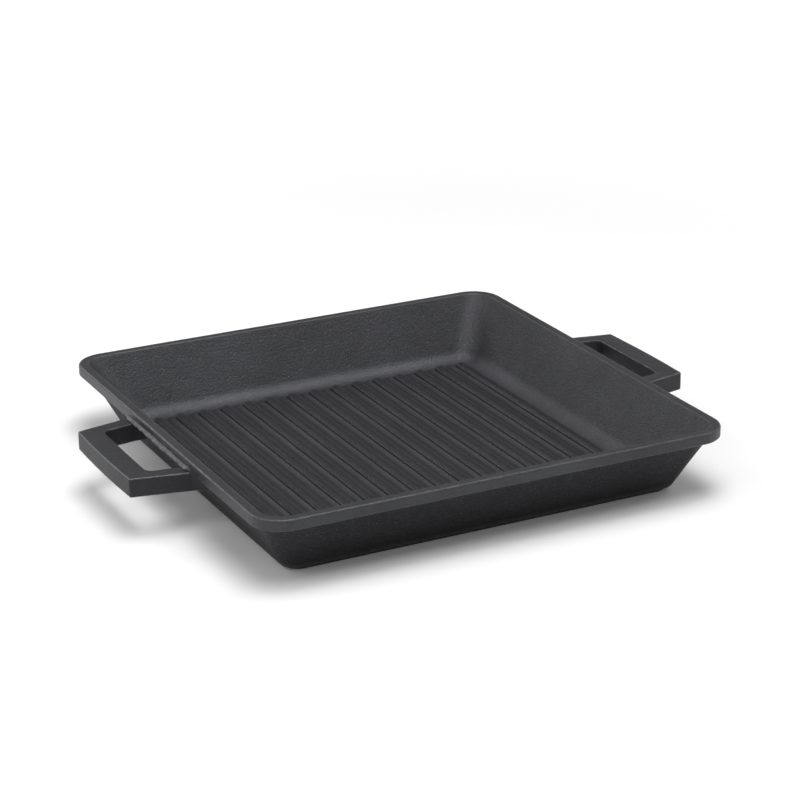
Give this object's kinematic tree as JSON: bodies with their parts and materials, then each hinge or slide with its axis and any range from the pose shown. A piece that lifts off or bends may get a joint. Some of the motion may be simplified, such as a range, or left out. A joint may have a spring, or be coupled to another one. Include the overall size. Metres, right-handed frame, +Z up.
{
  "type": "square grill pan",
  "caption": "Square cast-iron grill pan: sloping walls under a thick rim, raised parallel ribs on the floor and a flat loop handle on two opposite sides.",
  "frame": {"origin": "middle of the footprint, on the underside of the foot ring", "axes": "+X from the left handle to the right handle, +Y along the grill ribs, +Z up out of the mouth"},
  "size_m": [0.3214, 0.26, 0.037],
  "materials": {
    "cooking_floor": "pre-seasoned matte black, fine sand-cast grain",
    "pan_wall": "pre-seasoned matte black, fine sand-cast grain",
    "pan_rim": "pre-seasoned satin black, edges a little worn",
    "loop_handle": "pre-seasoned satin black, edges a little worn"
  },
  "bodies": {
    "root": {"base_plate": "cooking_floor", "side_wall": "pan_wall", "foot_ring": "pan_wall", "rim_flange": "pan_rim", "left_handle": "loop_handle", "right_handle": "loop_handle", "grill_rib_01": "cooking_floor", "grill_rib_02": "cooking_floor", "grill_rib_03": "cooking_floor", "grill_rib_04": "cooking_floor", "grill_rib_05": "cooking_floor", "grill_rib_06": "cooking_floor", "grill_rib_07": "cooking_floor", "grill_rib_08": "cooking_floor", "grill_rib_09": "cooking_floor", "grill_rib_10": "cooking_floor", "grill_rib_11": "cooking_floor", "grill_rib_12": "cooking_floor", "grill_rib_13": "cooking_floor", "grill_rib_14": "cooking_floor", "grill_rib_15": "cooking_floor"}
  },
  "joints": []
}
